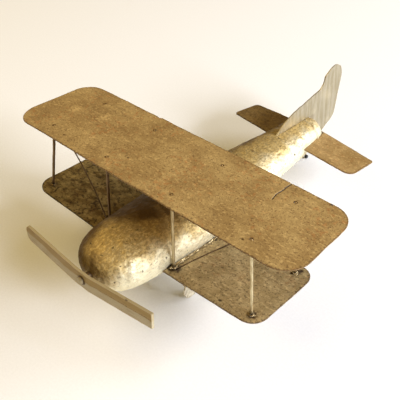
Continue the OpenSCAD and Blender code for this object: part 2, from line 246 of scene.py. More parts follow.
def gaps(points, tree):
    """Distance from each 2D point to the nearest point in a search tree."""
    return np.array([tree.find((p[0], p[1], 0))[2] for p in points])


def plan_grid(rings, step, extra, rim_tree):
    """Staggered plan points on the sheet and the extra ones, clear of the rims."""
    lo, hi = rings[0].min(0), rings[0].max(0)
    rows = np.arange(lo[1], hi[1], step * ROW_GAP)
    grid = np.array([(x + (k % 2) * step / 2, y) for k, y in enumerate(rows)
                     for x in np.arange(lo[0], hi[0], step)])
    grid = np.vstack([grid, extra])
    return grid[on_sheet(grid, rings) & (gaps(grid, rim_tree) > step * RIM_GAP)]


def plan_mesh(points, rings):
    """Triangles over a plan: (plan points, the given point behind each, triangles)."""
    edges, base = [], 0
    for r in rings:
        edges += [(base + k, base + (k + 1) % len(r)) for k in range(len(r))]
        base += len(r)
    made = delaunay_2d_cdt([Vector(p) for p in points], edges, [], 0, 1e-5)
    given = search_tree(points)
    plan = np.array(made[0])
    source = [o[0] if o else given.find((p[0], p[1], 0))[1] for o, p in zip(made[3], plan)]
    tris = np.array(made[2])
    tris = tris[on_sheet(plan[tris].mean(1), rings)]
    a, b, c = plan[tris[:, 0]], plan[tris[:, 1]], plan[tris[:, 2]]
    turn = (b[:, 0] - a[:, 0]) * (c[:, 1] - a[:, 1]) - (b[:, 1] - a[:, 1]) * (c[:, 0] - a[:, 0])
    tris[turn < 0] = tris[turn < 0][:, ::-1]
    return plan, source, tris


def plate(node, up, step, warp, grain, drift, seed, extra=()):
    """Sheet with the outline of a CAD plate: (points, faces, edge distance, top mask).

    warp(points) moves both faces along up, grain(points) raises each face by itself,
    drift is how far the outline wanders in its plane, extra holds finer plan points.
    """
    bm = cad_mesh(node)
    bmesh.ops.remove_doubles(bm, verts=bm.verts, dist=SEAM_WELD)
    tree = BVHTree.FromBMesh(bm)
    first = Y if abs(up.x) > 0.5 else X
    plan = np.array([first, up.cross(first)]).T
    loops = [dense(r, step) for r in rims(bm, up)]
    bm.free()
    flat = [r @ plan for r in loops]
    near = search_tree(np.vstack(flat))
    grid = plan_grid(flat, step, np.reshape(extra, (-1, 3)) @ plan, near)
    rays = [Vector(plan @ p) for p in grid]
    top = np.array([tree.ray_cast(ray + up * FAR, -up)[0] for ray in rays])
    bottom = np.array([tree.ray_cast(ray - up * FAR, up)[0] for ray in rays])
    u = np.array(up)
    thick = np.median((top - bottom) @ u)
    rim = np.vstack(loops)
    top, bottom = np.vstack([rim, top]), np.vstack([rim - u * thick, bottom])
    given = top @ plan
    flat_all, source, tris = plan_mesh(given, flat)
    shift = (flat_all - given[source]) @ plan.T
    top, bottom = top[source] + shift, bottom[source] + shift
    edge = gaps(flat_all, near)
    lift = warp(top)[:, None] * u
    top, bottom = top + lift, bottom + lift
    top, bottom = top + grain(top)[:, None] * u, bottom - grain(bottom + 7)[:, None] * u
    in_plane = flat_all @ plan.T
    slide = drift * np.stack([ripple(in_plane, 19, seed), ripple(in_plane, 19, seed + 1)], 1) @ plan.T
    top, bottom = top + slide, bottom + slide
    n = len(top)
    faces = [tuple(t) for t in tris] + [tuple(t[::-1] + n) for t in tris]
    around = {(t[k], t[(k + 1) % 3]) for t in tris.tolist() for k in range(3)}
    faces += [(a, a + n, b + n, b) for a, b in sorted(around) if (b, a) not in around]
    return np.vstack([top, bottom]), faces, np.concatenate([edge, edge]), np.arange(2 * n) < n


def tube_faces(rows, sides, flip=False):
    """Faces of a closed tube whose points are its rings in order, then its two end points."""
    first, last = rows * sides, rows * sides + 1
    around = [(i, (i + 1) % sides) for i in range(sides)]
    faces = [(k + i, k + j, k + sides + j, k + sides + i)
             for k in range(0, first - sides, sides) for i, j in around]
    faces += [(first, j, i) for i, j in around]
    faces += [(last, first - sides + i, first - sides + j) for i, j in around]
    return [(f[0], *f[:0:-1]) for f in faces] if flip else faces


def rod_path(node, count):
    """Centre line and radius of a round CAD rod, straight or bowed."""
    bm = cad_mesh(node)
    tree = BVHTree.FromBMesh(bm)
    co = np.array([v.co for v in bm.verts])
    _, _, axes = np.linalg.svd(co - co.mean(0), full_matrices=False)
    along, wide = axes[0], axes[1]
    third = np.cross(along, wide)
    spread = co @ np.array([along, wide, third]).T
    middle = (spread.min(0) + spread.max(0)) / 2 @ np.array([along, wide, third])
    s = (co - middle) @ along
    lo, hi = s.min(), s.max()
    offsets, radius = [], []
    stations = np.linspace(lo + 0.04 * (hi - lo), hi - 0.04 * (hi - lo), 9)
    for t in stations:
        here = middle + along * t
        row = []
        for d in (wide, third):
            a = np.array(tree.ray_cast(Vector(here + d * 40), Vector(-d))[0])
            b = np.array(tree.ray_cast(Vector(here - d * 40), Vector(d))[0])
            radius.append(np.linalg.norm(a - b) / 2)
            row.append(((a + b) / 2 - here) @ d)
            here = here + d * row[-1]
        offsets.append(row)
    offsets = np.array(offsets)
    want = np.linspace(lo, hi, count)
    fits = [np.polyval(np.polyfit(stations, offsets[:, k], 2), want) for k in (0, 1)]
    bm.free()
    line = middle + along * want[:, None] + wide * fits[0][:, None] + third * fits[1][:, None]
    if line[0][2] > line[-1][2]:
        line = line[::-1]
    return line, min(radius)


ROD_STEP = 1.2  # mm between the rings of a rod


def rod(name, node, material, seed, kink=0.25, sides=14):
    """Drawn rod: a tube along the CAD rod with slight kinks, swellings and domed ends."""
    length = np.ptp(cad_corners(node), axis=0).max()
    count = max(12, int(length / ROD_STEP))
    line, r = rod_path(node, count)
    t = np.linspace(0, 1, count)
    bump = np.sin(math.pi * t)[:, None]
    line = line + kink * bump * np.stack([ripple(line, 21, seed), ripple(line, 21, seed + 3),
                                          ripple(line, 21, seed + 5)], 1)
    direction = np.gradient(line, axis=0)
    direction /= np.linalg.norm(direction, axis=1)[:, None]
    ref = np.array([0.0, 1.0, 0.0]) if abs(direction[0][1]) < 0.8 else np.array([1.0, 0, 0])
    a = np.cross(direction, ref)
    a /= np.linalg.norm(a, axis=1)[:, None]
    b = np.cross(direction, a)
    ends = 3
    dome = [math.sin(math.radians(90 * (k + 0.6) / (ends + 0.6))) for k in range(ends)]
    scale = np.ones(count)
    scale[:ends], scale[-ends:] = dome, dome[::-1]
    scale[:ends] = np.maximum(scale[:ends], 0.62)
    angle = 2 * math.pi * np.arange(sides) / sides
    around = [np.cos(angle)[:, None] * a[k] + np.sin(angle)[:, None] * b[k] for k in range(count)]
    points = np.vstack([line[k] + r * scale[k] * around[k] for k in range(count)])
    outward = points - np.repeat(line, sides, 0)
    outward /= np.maximum(np.linalg.norm(outward, axis=1), 1e-9)[:, None]
    swell = 0.10 * ripple(points, 4.0, seed + 7) + 0.05 * ripple(points, 1.3, seed)
    points = np.vstack([points + outward * swell[:, None], line[0], line[-1]])
    foot, tip = (np.linalg.norm(points - at, axis=1) for at in (line[0], line[-1]))
    cap = fade(tip, r, r + 0.8)
    burn = fade(np.minimum(foot, tip), 2, 12) - cap
    return piece(name, points, tube_faces(count, sides), material, "airframe", node,
                 {"burn": burn, "cap": cap})


def lump(name, node, material, voxel, rough, size, seed, smooth=0, shrink=0.0, fresh=()):
    """Solder or cast lump: the CAD solid remeshed finely and roughened along its normals.

    Near the fresh places the flux is not burnt.
    """
    bm = cad_mesh(node)
    me = bpy.data.meshes.new(name + ".base")
    bm.to_mesh(me)
    bm.free()
    ob = bpy.data.objects.new(name + ".base", me)
    bpy.context.scene.collection.objects.link(ob)
    mod = ob.modifiers.new("remesh", "REMESH")
    mod.mode = "VOXEL"
    mod.voxel_size = voxel
    if smooth:
        relax = ob.modifiers.new("relax", "SMOOTH")
        relax.iterations = smooth
    got = ob.evaluated_get(bpy.context.evaluated_depsgraph_get()).to_mesh()
    points = np.array([v.co for v in got.vertices])
    normals = np.array([v.normal for v in got.vertices])
    faces = [tuple(p.vertices) for p in got.polygons]
    bpy.data.objects.remove(ob)
    height = rough * (ripple(points, size, seed) + 0.5 * ripple(points, size / 2.4, seed + 1)
                      + 0.25 * ripple(points, size / 5, seed + 2))
    points = points + normals * (height - shrink)[:, None]
    burn = fade(height, -rough, rough * 0.2)
    if len(fresh):
        burn -= 3 * fade(nearest(points, fresh), 5, 9)
    return piece(name, points, faces, material, "airframe", node, {"burn": burn})


def keep(node, material, width):
    """Carry a CAD node over with worn edges and its own material."""
    ob = frame["nodes"][node]
    ob.data.materials.clear()
    ob.data.materials.append(material)
    weld = ob.modifiers.new("weld", "WELD")
    weld.merge_threshold = 1e-6
    soften(ob, width, 40)


# ------------------------------------------------------------------ materials

def linear(r, g, b):
    """Scene colour of a display colour given as 0 to 255."""
    out = []
    for v in (r, g, b):
        v /= 255
        out.append(v / 12.92 if v <= 0.04045 else ((v + 0.055) / 1.055) ** 2.4)
    return (*out, 1.0)


def tint(colour, gain, lift=0):
    """Scene colour of a display colour made lighter or darker."""
    return linear(*[min(255, v * gain + lift) for v in colour])


class Paint:
    """Node tree of one material, built by short calls."""

    def __init__(self, name):
        self.mat = bpy.data.materials.new(name)
        self.mat.use_nodes = True
        self.tree = self.mat.node_tree
        self.tree.nodes.clear()
        self.place = self.node("ShaderNodeTexCoord").outputs["Object"]

    def node(self, kind, **props):
        made = self.tree.nodes.new(kind)
        for key, value in props.items():
            setattr(made, key, value)
        return made

    def put(self, socket, value):
        if isinstance(value, bpy.types.NodeSocket):
            self.tree.links.new(value, socket)
        else:
            socket.default_value = value

    def noise(self, size, detail=4.0, rough=0.55, stretch=(1, 1, 1), warp=0.0, seed=0):
        """Noise in 0..1 with features of about size mm, stretched by factors along x, y, z."""
        grid = self.node("ShaderNodeMapping")
        self.put(grid.inputs["Vector"], self.place)
        grid.inputs["Location"].default_value = (seed * 1.37, seed * 0.71, seed * 0.29)
        grid.inputs["Scale"].default_value = [1 / s for s in stretch]
        tex = self.node("ShaderNodeTexNoise")
        self.put(tex.inputs["Vector"], grid.outputs["Vector"])
        tex.inputs["Scale"].default_value = 1 / (size * MM)
        tex.inputs["Detail"].default_value = detail
        tex.inputs["Roughness"].default_value = rough
        tex.inputs["Distortion"].default_value = warp
        return tex.outputs["Fac"]

    def cells(self, size, seed):
        """Distance to the nearest cell centre, for cells of about size mm."""
        grid = self.node("ShaderNodeMapping")
        self.put(grid.inputs["Vector"], self.place)
        grid.inputs["Location"].default_value = (seed * 0.53, seed * 0.91, seed * 0.37)
        tex = self.node("ShaderNodeTexVoronoi")
        self.put(tex.inputs["Vector"], grid.outputs["Vector"])
        tex.inputs["Scale"].default_value = 1 / (size * MM)
        return tex.outputs["Distance"]

    def span(self, value, lo, hi, a=0.0, b=1.0):
        """a where value is below lo, b where it is above hi, smooth between."""
        made = self.node("ShaderNodeMapRange", interpolation_type="SMOOTHSTEP")
        self.put(made.inputs["Value"], value)
        for key, v in (("From Min", lo), ("From Max", hi), ("To Min", a), ("To Max", b)):
            made.inputs[key].default_value = v
        return made.outputs["Result"]

    def math(self, kind, a, b):
        made = self.node("ShaderNodeMath", operation=kind)
        self.put(made.inputs[0], a)
        self.put(made.inputs[1], b)
        return made.outputs[0]

    def mix(self, share, a, b):
        made = self.node("ShaderNodeMix", data_type="RGBA")
        self.put(made.inputs["Factor"], share)
        self.put(made.inputs["A"], a)
        self.put(made.inputs["B"], b)
        return made.outputs["Result"]

    def attribute(self, name):
        return self.node("ShaderNodeAttribute", attribute_name=name).outputs["Fac"]

    def finish(self, colour, metallic, roughness, height, depth):
        """The material, with a bump of that height field, depth in mm."""
        shader = self.node("ShaderNodeBsdfPrincipled")
        self.put(shader.inputs["Base Color"], colour)
        self.put(shader.inputs["Metallic"], metallic)
        self.put(shader.inputs["Roughness"], roughness)
        bump = self.node("ShaderNodeBump")
        bump.inputs["Distance"].default_value = depth * MM
        self.put(bump.inputs["Height"], height)
        self.put(shader.inputs["Normal"], bump.outputs["Normal"])
        out = self.node("ShaderNodeOutputMaterial")
        self.tree.links.new(shader.outputs["BSDF"], out.inputs["Surface"])
        return self.mat


SOOT = (46, 30, 16)


def patina(name, light, mid, dark, fleck, metallic, rough, seed, blotch=30, speckle=2.1,
           spots=0.75, blots=0.0):
    """Aged sheet: soft blotches, rolled streaks, dark and rusty specks, worn rim, burnt spots."""
    p = Paint(name)
    big = p.noise(blotch, 5, 0.6, warp=0.4, seed=seed)
    streak = p.noise(6, 5, 0.65, stretch=(5, 1, 1), seed=seed + 2)
    fine = p.noise(speckle, 2, 0.6, seed=seed + 3)
    grit = p.noise(speckle * 0.55, 2, 0.6, seed=seed + 4)
    rust = p.noise(speckle * 2.4, 3, 0.6, seed=seed + 5)
    pale = p.noise(speckle * 1.2, 3, 0.6, stretch=(1.6, 1, 1), seed=seed + 8)
    patch = p.noise(blotch * 1.7, 3, 0.5, seed=seed + 9)
    col = p.mix(p.span(big, 0.36, 0.64), linear(*mid), linear(*light))
    col = p.mix(p.span(streak, 0.42, 0.7, 0.0, 0.28), col, linear(*dark))
    rusty = p.math("MULTIPLY", p.span(rust, 0.5, 0.66), p.span(patch, 0.42, 0.6))
    col = p.mix(p.span(rusty, 0.0, 1.0, 0.0, 0.35), col, linear(*fleck))
    col = p.mix(p.span(pale, 0.52, 0.7, 0.0, 0.42), col, tint(light, 1.22, 14))
    if blots:
        blot = p.noise(blotch * 0.8, 4, 0.65, warp=1.2, seed=seed + 11)
        col = p.mix(p.span(blot, 0.56, 0.66, 0.0, blots), col, linear(*SOOT))
    col = p.mix(p.span(fine, 0.55, 0.68, 0.0, spots), col, linear(*dark))
    col = p.mix(p.span(grit, 0.56, 0.68, 0.0, spots * 0.7), col, tint(dark, 0.8))
    halo = p.math("ADD", p.attribute("halo"), p.span(pale, 0.3, 0.7, -0.4, 0.4))
    col = p.mix(p.span(halo, 0.3, 1.1, 0.0, 0.7), col, tint(light, 1.12, 8))
    wear = p.math("ADD", p.attribute("edge"), p.span(fine, 0.3, 0.7, -0.35, 0.35))
    col = p.mix(p.span(wear, 0.35, 1.0, 0.0, 0.85), col, linear(*dark))
    char = p.math("ADD", p.attribute("burn"), p.span(rust, 0.3, 0.7, -0.4, 0.3))
    col = p.mix(p.span(char, 0.3, 0.9, 0.0, 0.92), col, linear(*SOOT))
    roughness = p.span(p.math("ADD", p.math("MULTIPLY", big, 0.5), p.math("MULTIPLY", fine, 0.5)),
                       0.35, 0.65, rough - 0.1, rough + 0.12)
    height = p.math("ADD", p.math("MULTIPLY", fine, 0.6), p.math("MULTIPLY", streak, 0.8))
    return p.finish(col, metallic, roughness, height, 0.25)


def hammered():
    """Body sheet: brassy tone above and ahead, silver on the flanks, dark pits. The tones partly follow
    which way the surface faces: the bright silver flank toward the lights is painted light, and the darker
    top, nose front, far side and a band under the upper wing are painted shade.
    """
    p = Paint("hammered_body")
    big = p.noise(26, 5, 0.6, warp=0.5, seed=1)
    streak = p.noise(5, 4, 0.65, stretch=(1, 3, 1), seed=2)
    fine = p.noise(2.4, 3, 0.65, stretch=(1, 1.6, 1), seed=3)
    grit = p.noise(1.3, 2, 0.6, stretch=(1, 1.8, 1), seed=5)
    glint = p.noise(1.7, 3, 0.6, seed=6)
    pit = p.noise(4.6, 2, 0.5, seed=4)
    # The silver-to-brassy share follows which way the surface faces: painted light on the bright flank and
    # painted shade on the browner top and nose, plus random tone.
    brass_and_shade = p.math("ADD", p.attribute("brass_and_shade"), p.span(big, 0.3, 0.7, -0.22, 0.22))
    col = p.mix(p.span(brass_and_shade, 0.1, 0.95), linear(238, 230, 198), linear(212, 184, 120))
    col = p.mix(p.span(streak, 0.48, 0.72, 0.0, 0.4), col, linear(176, 146, 88))
    col = p.mix(p.span(glint, 0.52, 0.74, 0.0, 0.45), col, linear(232, 218, 170))
    # The dark tarnished share is partly painted shade: the far side, the nose front and a band under the
    # upper wing.
    tarnish_and_shade = p.math("ADD", p.attribute("tarnish_and_shade"), p.span(big, 0.3, 0.7, -0.2, 0.2))
    col = p.mix(p.span(tarnish_and_shade, 0.12, 0.8, 0.0, 0.92), col, linear(74, 50, 16))
    dirt = p.math("ADD", p.math("MULTIPLY", p.attribute("brass_and_shade"), 0.16), fine)
    col = p.mix(p.span(dirt, 0.55, 0.76, 0.0, 0.5), col, linear(112, 86, 44))
    col = p.mix(p.span(grit, 0.6, 0.72, 0.0, 0.35), col, linear(120, 94, 54))
    col = p.mix(p.span(pit, 0.67, 0.74, 0.0, 0.85), col, linear(58, 44, 26))
    char = p.math("ADD", p.attribute("burn"), p.span(fine, 0.3, 0.7, -0.3, 0.3))
    col = p.mix(p.span(char, 0.35, 0.8, 0.0, 0.9), col, linear(44, 32, 20))
    roughness = p.span(p.math("ADD", p.math("MULTIPLY", big, 0.4), p.math("MULTIPLY", streak, 0.6)),
                       0.35, 0.65, 0.5, 0.66)
    dents = p.cells(7, 2)
    height = p.math("ADD", p.math("MULTIPLY", fine, 0.9), p.math("MULTIPLY", streak, 0.9))
    height = p.math("ADD", height, p.math("MULTIPLY", dents, 1.0))
    return p.finish(col, 0.72, roughness, height, 0.6)


def ribbed_sheet():
    """Fin sheet: pale champagne with long upright dark and light ribs."""
    p = Paint("fin_sheet")
    rib = p.noise(5, 3, 0.6, stretch=(1, 1, 9), warp=0.25, seed=7)
    thin = p.noise(2.2, 3, 0.6, stretch=(1, 1, 12), warp=0.25, seed=8)
    big = p.noise(30, 4, 0.5, seed=9)
    fine = p.noise(1.6, 3, 0.6, seed=10)
    col = p.mix(p.span(rib, 0.38, 0.64), linear(173, 163, 138), linear(155, 143, 114))
    col = p.mix(p.span(thin, 0.52, 0.7, 0.0, 0.35), col, linear(146, 130, 98))
    col = p.mix(p.span(big, 0.5, 0.72, 0.0, 0.4), col, linear(204, 190, 156))
    col = p.mix(p.span(fine, 0.58, 0.75, 0.0, 0.35), col, linear(140, 118, 80))
    col = p.mix(p.span(p.attribute("burn"), 0.2, 0.9, 0.0, 0.8), col, linear(96, 74, 44))
    height = p.math("ADD", p.math("MULTIPLY", rib, 1.0), p.math("MULTIPLY", thin, 0.5))
    return p.finish(col, 0.7, p.span(rib, 0.3, 0.7, 0.3, 0.48), height, 0.3)


def bar_metal():
    """Propeller bar: olive bloom on the upper half, greyer below, fine scratches along it."""
    p = Paint("bar_metal")
    line = p.noise(1.8, 3, 0.6, stretch=(16, 1, 1), seed=9)
    big = p.noise(16, 4, 0.6, stretch=(2, 1, 1), seed=14)
    fine = p.noise(1.5, 3, 0.6, seed=19)
    level = p.math("ADD", p.attribute("level"), p.span(big, 0.3, 0.7, -0.35, 0.35))
    col = p.mix(p.span(level, 0.3, 0.7), linear(166, 152, 120), linear(144, 118, 62))
    col = p.mix(p.span(line, 0.5, 0.75, 0.0, 0.35), col, linear(128, 108, 68))
    col = p.mix(p.span(fine, 0.56, 0.72, 0.0, 0.45), col, linear(120, 98, 60))
    col = p.mix(p.span(p.attribute("edge"), 0.5, 1.0, 0.0, 0.55), col, linear(214, 202, 168))
    char = p.math("ADD", p.attribute("burn"), p.span(fine, 0.3, 0.7, -0.3, 0.3))
    col = p.mix(p.span(char, 0.35, 1.0, 0.0, 0.8), col, linear(72, 52, 28))
    height = p.math("ADD", p.math("MULTIPLY", line, 0.6), p.math("MULTIPLY", fine, 0.5))
    return p.finish(col, 0.55, p.span(line, 0.3, 0.7, 0.36, 0.52), height, 0.16)


def bare(name, light, dark, metallic, rough, size, seed, stretch=(1, 1, 1)):
    """Bare metal with drawn streaks, fine specks and scorched ends."""
    p = Paint(name)
    streak = p.noise(size, 4, 0.6, stretch=stretch, seed=seed)
    fine = p.noise(0.9, 3, 0.6, seed=seed + 3)
    big = p.noise(18, 3, 0.5, seed=seed + 6)
    col = p.mix(p.span(streak, 0.35, 0.7), linear(*light), linear(*dark))
    col = p.mix(p.span(fine, 0.55, 0.75, 0.0, 0.5), col, tint(dark, 0.6))
    col = p.mix(p.span(big, 0.5, 0.7, 0.0, 0.35), col, tint(light, 1.1))
    char = p.math("ADD", p.attribute("burn"), p.span(fine, 0.3, 0.7, -0.3, 0.3))
    col = p.mix(p.span(char, 0.35, 1.0, 0.0, 0.75), col, linear(60, 44, 28))
    col = p.mix(p.attribute("cap"), col, linear(142, 112, 64))
    roughness = p.span(streak, 0.3, 0.7, rough - 0.08, rough + 0.14)
    height = p.math("ADD", p.math("MULTIPLY", streak, 0.7), p.math("MULTIPLY", fine, 0.5))
    return p.finish(col, metallic, roughness, height, 0.16)


def solder(name, flux):
    """Crumbly solder: bright tin on the crests, burnt flux in the hollows."""
    p = Paint(name)
    fine = p.noise(1.1, 4, 0.7, seed=12)
    big = p.noise(6, 3, 0.6, seed=13)
    col = p.mix(p.span(fine, 0.35, 0.65), linear(206, 188, 146), linear(140, 116, 76))
    dirt = p.math("ADD", p.attribute("burn"), p.span(big, 0.3, 0.7, flux - 0.35, flux + 0.35))
    col = p.mix(p.span(dirt, 0.4, 0.95, 0.0, 0.85), col, linear(112, 88, 50))
    roughness = p.span(fine, 0.3, 0.7, 0.28, 0.55)
    return p.finish(col, 0.85, roughness, fine, 0.35)


def rubber():
    """Black ball with a dusty bloom."""
    p = Paint("black_ball")
    fine = p.noise(0.8, 3, 0.6, seed=21)
    col = p.mix(p.span(fine, 0.4, 0.8), linear(14, 14, 14), linear(40, 38, 36))
    return p.finish(col, 0.0, p.span(fine, 0.3, 0.7, 0.35, 0.6), fine, 0.1)


UPPER = patina("upper_sheet", (178, 147, 90), (160, 128, 76), (106, 78, 40), (176, 104, 46),
               0.3, 0.52, seed=1)
LOWER = patina("lower_sheet", (178, 155, 108), (152, 130, 86), (88, 68, 40), (140, 92, 48),
               0.35, 0.48, seed=21, blotch=22, speckle=2.6, spots=0.7)
# Darker copy of the lower sheet for the left lower wing, which sits in the shade of the body and upper
# wing: painted shade. Its pale streaks are painted reflections.
LOWER_PAINTED_SHADE = patina("lower_sheet_painted_shade", (156, 134, 84), (104, 82, 40), (30, 20, 10), (104, 68, 34),
              0.5, 0.4, seed=41, blotch=15, speckle=4.0, blots=0.85)
# Darker copy of the tail sheet for the far, left stabiliser: painted shade.
STAB_PAINTED_SHADE = patina("far_tail_sheet_painted_shade", (148, 120, 70), (122, 94, 50), (66, 46, 22), (112, 70, 34),
                   0.4, 0.45, seed=51, blotch=18, speckle=2.4, spots=0.6)
STAB_TAN = patina("near_tail_sheet", (182, 150, 96), (162, 130, 78), (112, 84, 42), (156, 104, 54),
                  0.32, 0.5, seed=61, blotch=24, spots=0.45)
BODY = hammered()
FIN = ribbed_sheet()
BAR = bar_metal()
STEEL = bare("rod_steel", (212, 198, 158), (160, 138, 96), 0.85, 0.38, size=5, seed=11,
             stretch=(1, 1, 6))
# Darker steel: painted shade on the left struts of the far side, and also the dark wires and small parts.
STEEL_DARK_AND_SHADED = bare("rod_steel_dark_and_shaded", (126, 104, 76), (84, 64, 44), 0.8, 0.4, size=5, seed=15,
                  stretch=(1, 1, 6))
DISC = bare("wheel_metal", (232, 224, 202), (188, 172, 140), 0.75, 0.38, size=4, seed=17)
SOLDER = solder("seam_solder", 0.3)
SOLDER_BURNT = solder("burnt_solder", 0.5)
RUBBER = rubber()

# ------------------------------------------------------------------ rods and wires

STRUTS = [f"strut_{where}_{row}_{hand}" for where in ("outer", "inner")
          for row in ("front", "rear") for hand in ("right", "left")]
joints = {}  # a few points along each strut and wire, foot first
for k, node in enumerate(STRUTS):
    joints[node] = rod_path(node, 5)[0]
    # Right struts take the light steel and left struts the darker one: lit and shaded copies, painted light
    # and shade.
    rod(node + "_rod", node, STEEL if node.endswith("right") else STEEL_DARK_AND_SHADED, seed=k + 1)
for k, hand in enumerate(("right", "left")):
    node = "brace_wire_" + hand
    joints[node] = rod_path(node, 5)[0]
    rod(f"brace_{hand}_wire", node, STEEL_DARK_AND_SHADED, seed=20 + k, kink=0.5, sides=10)
    rod(f"gear_{hand}_leg", "gear_leg_" + hand, STEEL, seed=30 + k)
rod("tail_skid_wire", "tail_skid", STEEL_DARK_AND_SHADED, seed=40)

FEET = np.array([line[0] for line in joints.values()])
TOPS = np.array([line[-1] for line in joints.values()])


# ------------------------------------------------------------------ wings

CRACK_AT = 0.6  # where the crack meets the rear edge, as a fraction of the right half
CRACK_LONG = 0.3  # how far forward it runs, as a fraction of the chord
CRACK_SWAY = 2.5  # mm it wanders to each side
CRACK_LEGS = 4
NOTCH_AT = 1 / 3  # where the rear edge is nicked, as a fraction of the left half
REAR_FROM = 0.75  # where the rear edge zone starts, as a fraction of the chord
DROOP = 0.038  # slope of each half of the upper wing
RIDGE_R = 12.0  # mm from the middle over which the two slopes blend


def crack_line(lo, hi):
    """Zigzag forward from the rear edge, in plan at height 0."""
    draw = random.Random(81)
    return [np.array((CRACK_AT * hi[0] + draw.uniform(-CRACK_SWAY, CRACK_SWAY),
                      between(hi[1], lo[1], CRACK_LONG * k / CRACK_LEGS), 0))
            for k in range(CRACK_LEGS + 1)]


def beside(line):
    """Fine points along a plan line and close to both its sides."""
    points = []
    for a, b in zip(line, line[1:]):
        side = np.cross((b - a) / np.linalg.norm(b - a), (0, 0, 1))
        for t in np.linspace(0, 1, 16, endpoint=False):
            points += [a + (b - a) * t + side * w for w in (-0.9, -0.45, 0, 0.45, 0.9)]
    return points


def nick(pts, edge, lo, hi):
    """Nick the rear edge, and step it out a little beyond the nick."""
    rear = pts[:, 1] > between(lo[1], hi[1], REAR_FROM)
    off = pts[:, 0] - NOTCH_AT * lo[0]
    pts[:, 1] -= 1.6 * np.exp(-(off / 2.4) ** 2) * rear * fade(edge, 0, 6)
    pts[:, 1] += 0.5 * fade(-off, -1, 3) * fade(np.abs(off), 3, 26) * rear * fade(edge, 0, 10)


def upper_wing():
    lo, hi = cad_corners("upper_wing")
    crack = crack_line(lo, hi)

    def warp(p):
        ridge = np.sqrt(p[:, 0] ** 2 + RIDGE_R ** 2) - np.abs(p[:, 0])
        loose = 1 - fade(nearest(p, TOPS), 4, 30)
        return (0.9 * ripple(p, 95, 2) + 0.35 * ripple(p, 34, 3)) * loose - DROOP * ridge

    def grain(p):
        depth = 0.7 * fade(path_distance(p * (1, 1, 0), crack), 0.15, 0.9)
        return 0.10 * ripple(p, 6, 4) + 0.05 * ripple(p, 2.4, 5) - depth

    pts, faces, edge, _ = plate("upper_wing", Z, 1.9, warp, grain, 0.45, seed=3, extra=beside(crack))
    nick(pts, edge, lo, hi)
    spots = scatter(pts, 7, seed=82)
    burn = 0.3 * fade(nearest(pts, TOPS), 1.6, 4.2) + 0.85 * fade(nearest(pts, spots), 0.8, 3.0)
    burn = np.maximum(burn, 1.4 * fade(path_distance(pts * (1, 1, 0), crack), 0.3, 1.1))
    halo = 0.8 * fade(nearest(pts, spots), 4, 15) * fade(pts[:, 0], lo[0] / 2, 0)
    ob = piece("upper_wing_sheet", pts, faces, UPPER, "airframe", "upper_wing",
               {"edge": fade(edge, 0.2, 2.2), "burn": burn, "halo": halo})
    soften(ob, 0.4)


HEAT_BEHIND = np.array((0, 6, 0))  # mm from the outer rear foot to its heat mark


def lower_wing(hand, material):
    node = "lower_wing_" + hand
    feet = [line[0] for key, line in joints.items() if key.endswith(hand)]
    heat = joints["strut_outer_rear_" + hand][0] + HEAT_BEHIND
    root_x = np.mean(cad_corners("wing_seam_right"), 0)[0]

    def warp(p):
        loose = 1 - fade(nearest(p, feet), 4, 26)
        clear = fade(root_x - np.abs(p[:, 0]), -28, -4)
        return (0.7 * ripple(p, 80, 6) + 0.3 * ripple(p, 26, 7)) * loose * clear

    def grain(p):
        return 0.12 * ripple(p, 7, 8) + 0.05 * ripple(p, 2.4, 9)

    pts, faces, edge, _ = plate(node, Z, 2.0, warp, grain, 0.4, seed=5 if hand == "right" else 9)
    spots = scatter(pts, 4, seed=83)
    root = np.abs(np.abs(pts[:, 0]) - root_x)
    burn = 0.6 * fade(nearest(pts, feet), 3.0, 11.0) + 0.8 * fade(nearest(pts, spots), 0.8, 3.2)
    burn = burn + 0.2 * fade(root, 2, 12) + 0.75 * fade(nearest(pts, [heat]), 2, 9)
    ob = piece(node + "_sheet", pts, faces, material, "airframe", node,
               {"edge": fade(edge, 0.2, 2.4), "burn": burn})
    soften(ob, 0.4)


upper_wing()
lower_wing("right", LOWER)
# The left lower wing takes the darker copy: painted shade.
lower_wing("left", LOWER_PAINTED_SHADE)

# ------------------------------------------------------------------ tail

RIB_LEAN = 0.42  # how far the fin's ribs lean back, per mm of height


def tail_fin():
    def warp(p):
        lean = p[:, 1] - RIB_LEAN * p[:, 2]
        rib = np.stack([lean, np.zeros(len(p)), p[:, 2] * 0.06], 1)
        return 0.55 * ripple(rib, 6.5, 3) + 0.5 * ripple(p, 40, 4)

    def grain(p):
        return 0.05 * ripple(p, 3, 5)

    pts, faces, edge, _ = plate("tail_fin", X, 1.3, warp, grain, 0.25, seed=12)
    body_hi = cad_corners("fuselage_shell")[1]
    foot = fade(pts[:, 2] - body_hi[2], -6, 2) * fade(pts[:, 1] - body_hi[1], 1, 5) * 0.5
    ob = piece("tail_fin_sheet", pts, faces, FIN, "airframe", "tail_fin",
               {"edge": fade(edge, 0.2, 1.5), "burn": foot})
    soften(ob, 0.35)


def stabiliser(hand, material):
    node = "stabiliser_" + hand
    seed = 14 if hand == "right" else 17
    root_x = np.abs(cad_corners(node))[:, 0].min()

    def warp(p):
        clear = 1 - fade(np.abs(p[:, 0]) - root_x, 6, 20)
        return (0.5 * ripple(p, 60, seed) + 0.25 * ripple(p, 22, seed + 1)) * clear

    def grain(p):
        return 0.10 * ripple(p, 6, seed + 2) + 0.04 * ripple(p, 2.2, seed)

    pts, faces, edge, _ = plate(node, Z, 1.6, warp, grain, 0.4, seed=seed)
    root = fade(np.abs(pts[:, 0]) - root_x, 6, 16) * 0.6
    ob = piece(node + "_sheet", pts, faces, material, "airframe", node,
               {"edge": fade(edge, 0.2, 2.2), "burn": root})
    soften(ob, 0.35)


tail_fin()
stabiliser("right", STAB_TAN)
